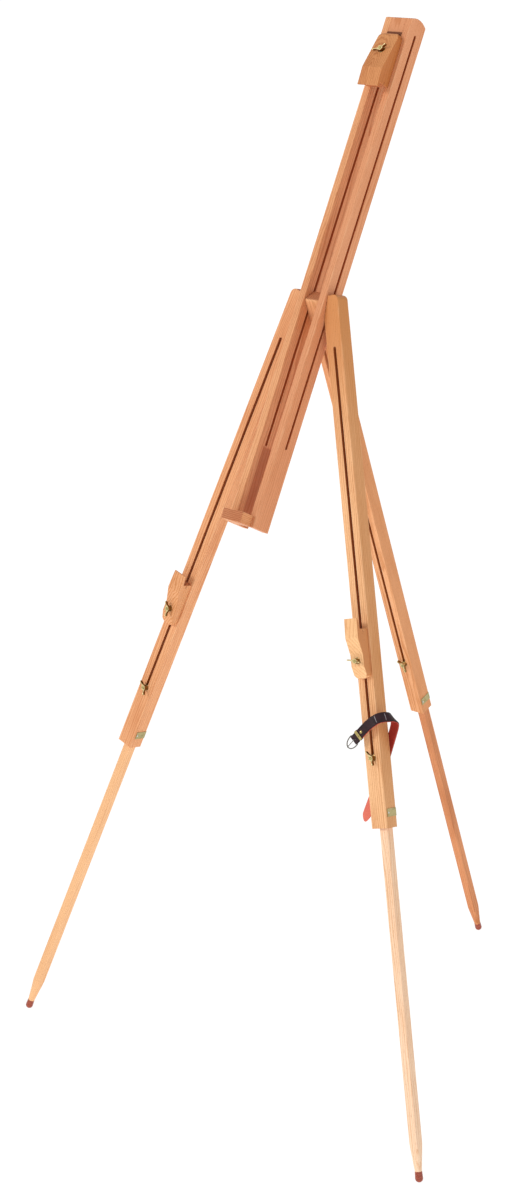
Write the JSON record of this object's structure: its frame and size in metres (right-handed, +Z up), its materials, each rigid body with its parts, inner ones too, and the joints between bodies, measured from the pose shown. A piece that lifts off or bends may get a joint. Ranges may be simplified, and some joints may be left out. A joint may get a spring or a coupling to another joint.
{
  "type": "wooden artist easel",
  "caption": "Folding wooden field easel: tilting slotted mast, splayed legs with sliding extensions, canvas holders, top clamp, wing nuts and a leather strap.",
  "frame": {"origin": "on the floor, at the centre of the box round the object", "axes": "+Z up, front of the easel (the side with the canvas) to -Y, +X to the right seen from the front"},
  "size_m": [0.8996, 0.8034, 1.7552],
  "materials": {
    "beech": "oiled, satin",
    "brass": "bright",
    "steel": "zinc plated",
    "band_metal": "pale plated sheet",
    "foot_rubber": "glossy",
    "fibre": "matte",
    "dark_leather": "polished",
    "red_leather": "matte"
  },
  "bodies": {
    "rear_leg": {"rear_upper_leg": "beech", "rear_leg_band": "band_metal", "rear_band_pins": "steel", "pivot_bolt": "steel", "pivot_nut": "steel"},
    "rear_extension": {"rear_extension": "beech", "rear_foot_cap": "foot_rubber", "rear_extension_bolt": "steel", "rear_extension_washer": "brass"},
    "rear_extension_nut": {"rear_extension_wing_nut": "brass"},
    "left_swing": {"left_bolt_leaf": "steel", "left_hinge_pin": "steel"},
    "left_leg": {"left_upper_leg": "beech", "left_leg_leaf": "steel", "left_leaf_screws": "steel", "left_leg_band": "band_metal", "left_band_pins": "steel"},
    "left_extension": {"left_extension": "beech", "left_foot_cap": "foot_rubber", "left_extension_bolt": "steel", "left_extension_washer": "brass"},
    "left_extension_nut": {"left_extension_wing_nut": "brass"},
    "left_holder": {"left_canvas_holder": "beech", "left_holder_bolt": "steel", "left_holder_washer": "brass"},
    "left_holder_nut": {"left_holder_wing_nut": "brass"},
    "right_swing": {"right_bolt_leaf": "steel", "right_hinge_pin": "steel"},
    "right_leg": {"right_upper_leg": "beech", "right_leg_leaf": "steel", "right_leaf_screws": "steel", "right_leg_band": "band_metal", "right_band_pins": "steel", "carrying_strap": "dark_leather", "strap_lining": "red_leather", "strap_keeper": "brass", "strap_rivet": "brass", "strap_screw": "steel"},
    "right_extension": {"right_extension": "beech", "right_foot_cap": "foot_rubber", "right_extension_bolt": "steel", "right_extension_washer": "brass"},
    "right_extension_nut": {"right_extension_wing_nut": "brass"},
    "right_holder": {"right_canvas_holder": "beech", "right_holder_bolt": "steel", "right_holder_washer": "brass"},
    "right_holder_nut": {"right_holder_wing_nut": "brass"},
    "mast_guide": {"friction_washers": "fibre"},
    "mast": {"left_mast_rail": "beech", "right_mast_rail": "beech", "mast_top_block": "beech", "mast_foot_ledge": "beech"},
    "clamp": {"canvas_clamp": "beech", "clamp_back_plate": "beech", "clamp_bolt": "steel", "clamp_washer": "brass"},
    "clamp_nut": {"clamp_wing_nut": "brass"},
    "buckle": {"buckle_frame": "steel"},
    "prong": {"buckle_prong": "steel"}
  },
  "joints": [
    {"name": "rear_extension_slide", "type": "slide", "parent": "rear_leg", "child": "rear_extension", "axis": [0, -0.3626, 0.932], "range_m": [0, 0.54]},
    {"name": "rear_extension_nut_turn", "type": "hinge", "parent": "rear_extension", "child": "rear_extension_nut", "pos_m": [0, 0.13519, 0.62694], "axis": [0, -0.932, -0.3626], "continuous": true},
    {"name": "left_leg_swing", "type": "hinge", "parent": "rear_leg", "child": "left_swing", "pos_m": [0, -0.11906, 1.31776], "axis": [-1, 0, 0], "range_deg": [-33, 15]},
    {"name": "left_leg_fold", "type": "hinge", "parent": "left_swing", "child": "left_leg", "pos_m": [-0.02975, -0.12443, 1.29262], "axis": [0, -0.9779, 0.2089], "range_deg": [0, 16.9]},
    {"name": "left_extension_slide", "type": "slide", "parent": "left_leg", "child": "left_extension", "axis": [0.2907, 0.1999, 0.9357], "range_m": [0, 0.11]},
    {"name": "left_extension_nut_turn", "type": "hinge", "parent": "left_extension", "child": "left_extension_nut", "pos_m": [-0.24782, -0.2778, 0.63939], "axis": [0, -0.9779, 0.2089], "continuous": true},
    {"name": "left_holder_slide", "type": "slide", "parent": "left_leg", "child": "left_holder", "axis": [0.2907, 0.1999, 0.9357], "range_m": [0, 0.47]},
    {"name": "left_holder_nut_turn", "type": "hinge", "parent": "left_holder", "child": "left_holder_nut", "pos_m": [-0.20233, -0.24651, 0.78583], "axis": [0, -0.9779, 0.2089], "continuous": true},
    {"name": "right_leg_swing", "type": "hinge", "parent": "rear_leg", "child": "right_swing", "pos_m": [0, -0.11906, 1.31776], "axis": [-1, 0, 0], "range_deg": [-33, 15]},
    {"name": "right_leg_fold", "type": "hinge", "parent": "right_swing", "child": "right_leg", "pos_m": [0.02975, -0.12443, 1.29262], "axis": [0, 0.9779, -0.2089], "range_deg": [0, 16.9]},
    {"name": "right_extension_slide", "type": "slide", "parent": "right_leg", "child": "right_extension", "axis": [-0.2907, 0.1999, 0.9357], "range_m": [0, 0.11]},
    {"name": "right_extension_nut_turn", "type": "hinge", "parent": "right_extension", "child": "right_extension_nut", "pos_m": [0.24782, -0.2778, 0.63939], "axis": [0, -0.9779, 0.2089], "continuous": true},
    {"name": "right_holder_slide", "type": "slide", "parent": "right_leg", "child": "right_holder", "axis": [-0.2907, 0.1999, 0.9357], "range_m": [0, 0.47]},
    {"name": "right_holder_nut_turn", "type": "hinge", "parent": "right_holder", "child": "right_holder_nut", "pos_m": [0.20233, -0.24651, 0.78583], "axis": [0, -0.9779, 0.2089], "continuous": true},
    {"name": "mast_tilt", "type": "hinge", "parent": "rear_leg", "child": "mast_guide", "pos_m": [0, -0.11906, 1.31776], "axis": [-1, 0, 0], "range_deg": [-27, 62]},
    {"name": "mast_slide", "type": "slide", "parent": "mast_guide", "child": "mast", "axis": [0, 0.4602, 0.8878], "range_m": [-0.32, 0.235]},
    {"name": "clamp_slide", "type": "slide", "parent": "mast", "child": "clamp", "axis": [0, -0.4602, -0.8878], "range_m": [0, 0.32]},
    {"name": "clamp_nut_turn", "type": "hinge", "parent": "clamp", "child": "clamp_nut", "pos_m": [0, 0.05602, 1.70007], "axis": [0, -0.8878, 0.4602], "continuous": true},
    {"name": "buckle_swing", "type": "hinge", "parent": "right_leg", "child": "buckle", "pos_m": [0.21914, -0.2902, 0.66653], "axis": [-0.8121, 0.1219, 0.5706], "range_deg": [-30, 45]},
    {"name": "prong_turn", "type": "hinge", "parent": "buckle", "child": "prong", "pos_m": [0.21914, -0.2902, 0.66653], "axis": [-0.8121, 0.1219, 0.5706], "range_deg": [0, 60]}
  ]
}
